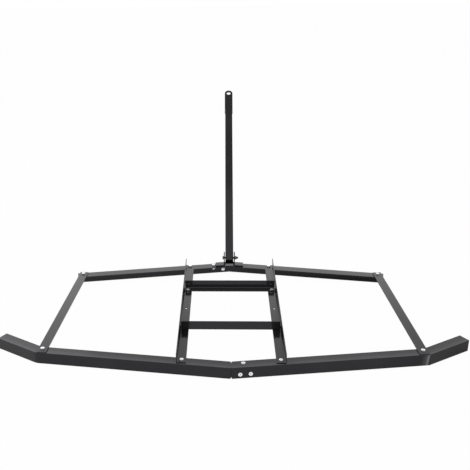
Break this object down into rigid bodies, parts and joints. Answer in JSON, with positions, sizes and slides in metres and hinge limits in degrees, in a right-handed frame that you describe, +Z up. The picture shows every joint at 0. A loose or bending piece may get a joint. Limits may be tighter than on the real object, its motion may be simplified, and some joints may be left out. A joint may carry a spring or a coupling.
{
  "type": "driveway drag",
  "caption": "Tow behind driveway drag with two V shaped angle iron scraper beams, an adjustable ballast bay and a hinged tow bar.",
  "frame": {"origin": "middle of the footprint on the ground, under the crossbars", "axes": "+Y the towing direction, +Z up, +X to the right looking along the towing direction"},
  "size_m": [1.981, 1.903, 0.7644],
  "materials": {
    "black_coat": "glossy black powder coat",
    "zinc_plate": "bright zinc plating",
    "black_oxide": "black oxide"
  },
  "bodies": {
    "frame": {"front_crossbar": "black_coat", "front_crossbar_left_bolt": "zinc_plate", "front_crossbar_left_nut": "zinc_plate", "front_crossbar_right_bolt": "zinc_plate", "front_crossbar_right_nut": "zinc_plate", "front_left_beam": "black_coat", "front_right_beam": "black_coat", "front_splice": "black_coat", "front_splice_face_1_bolt": "zinc_plate", "front_splice_face_1_nut": "zinc_plate", "front_splice_top_1_bolt": "zinc_plate", "front_splice_top_1_nut": "zinc_plate", "hitch_cap": "black_coat", "left_hitch_ear": "black_coat", "left_rail": "black_coat", "left_rail_front_bolt": "zinc_plate", "left_rail_front_nut": "zinc_plate", "left_rail_rear_bolt": "zinc_plate", "left_rail_rear_nut": "zinc_plate", "left_strap": "black_coat", "left_strap_front_bolt": "zinc_plate", "left_strap_front_nut": "zinc_plate", "left_strap_rear_bolt": "zinc_plate", "left_strap_rear_nut": "zinc_plate", "pivot_bolt": "black_oxide", "pivot_nut": "black_oxide", "rear_crossbar": "black_coat", "rear_crossbar_left_bolt": "zinc_plate", "rear_crossbar_left_nut": "zinc_plate", "rear_crossbar_right_bolt": "zinc_plate", "rear_crossbar_right_nut": "zinc_plate", "rear_left_beam": "black_coat", "rear_right_beam": "black_coat", "rear_splice": "black_coat", "rear_splice_face_1_bolt": "zinc_plate", "rear_splice_face_1_nut": "zinc_plate", "rear_splice_face_2_bolt": "zinc_plate", "rear_splice_face_2_nut": "zinc_plate", "rear_splice_top_1_bolt": "zinc_plate", "rear_splice_top_1_nut": "zinc_plate", "right_hitch_ear": "black_coat", "right_rail": "black_coat", "right_rail_front_bolt": "zinc_plate", "right_rail_front_nut": "zinc_plate", "right_rail_rear_bolt": "zinc_plate", "right_rail_rear_nut": "zinc_plate", "right_strap": "black_coat", "right_strap_front_bolt": "zinc_plate", "right_strap_front_nut": "zinc_plate", "right_strap_rear_bolt": "zinc_plate", "right_strap_rear_nut": "zinc_plate"},
    "tow_bar": {"tow_bar_tube": "black_coat", "tow_tongue": "black_coat"}
  },
  "joints": [
    {"name": "tow_bar_hinge", "type": "hinge", "parent": "frame", "child": "tow_bar", "pos_m": [0, 0.06099, 0.092], "axis": [1, 0, 0], "range_deg": [-41, 137]}
  ]
}
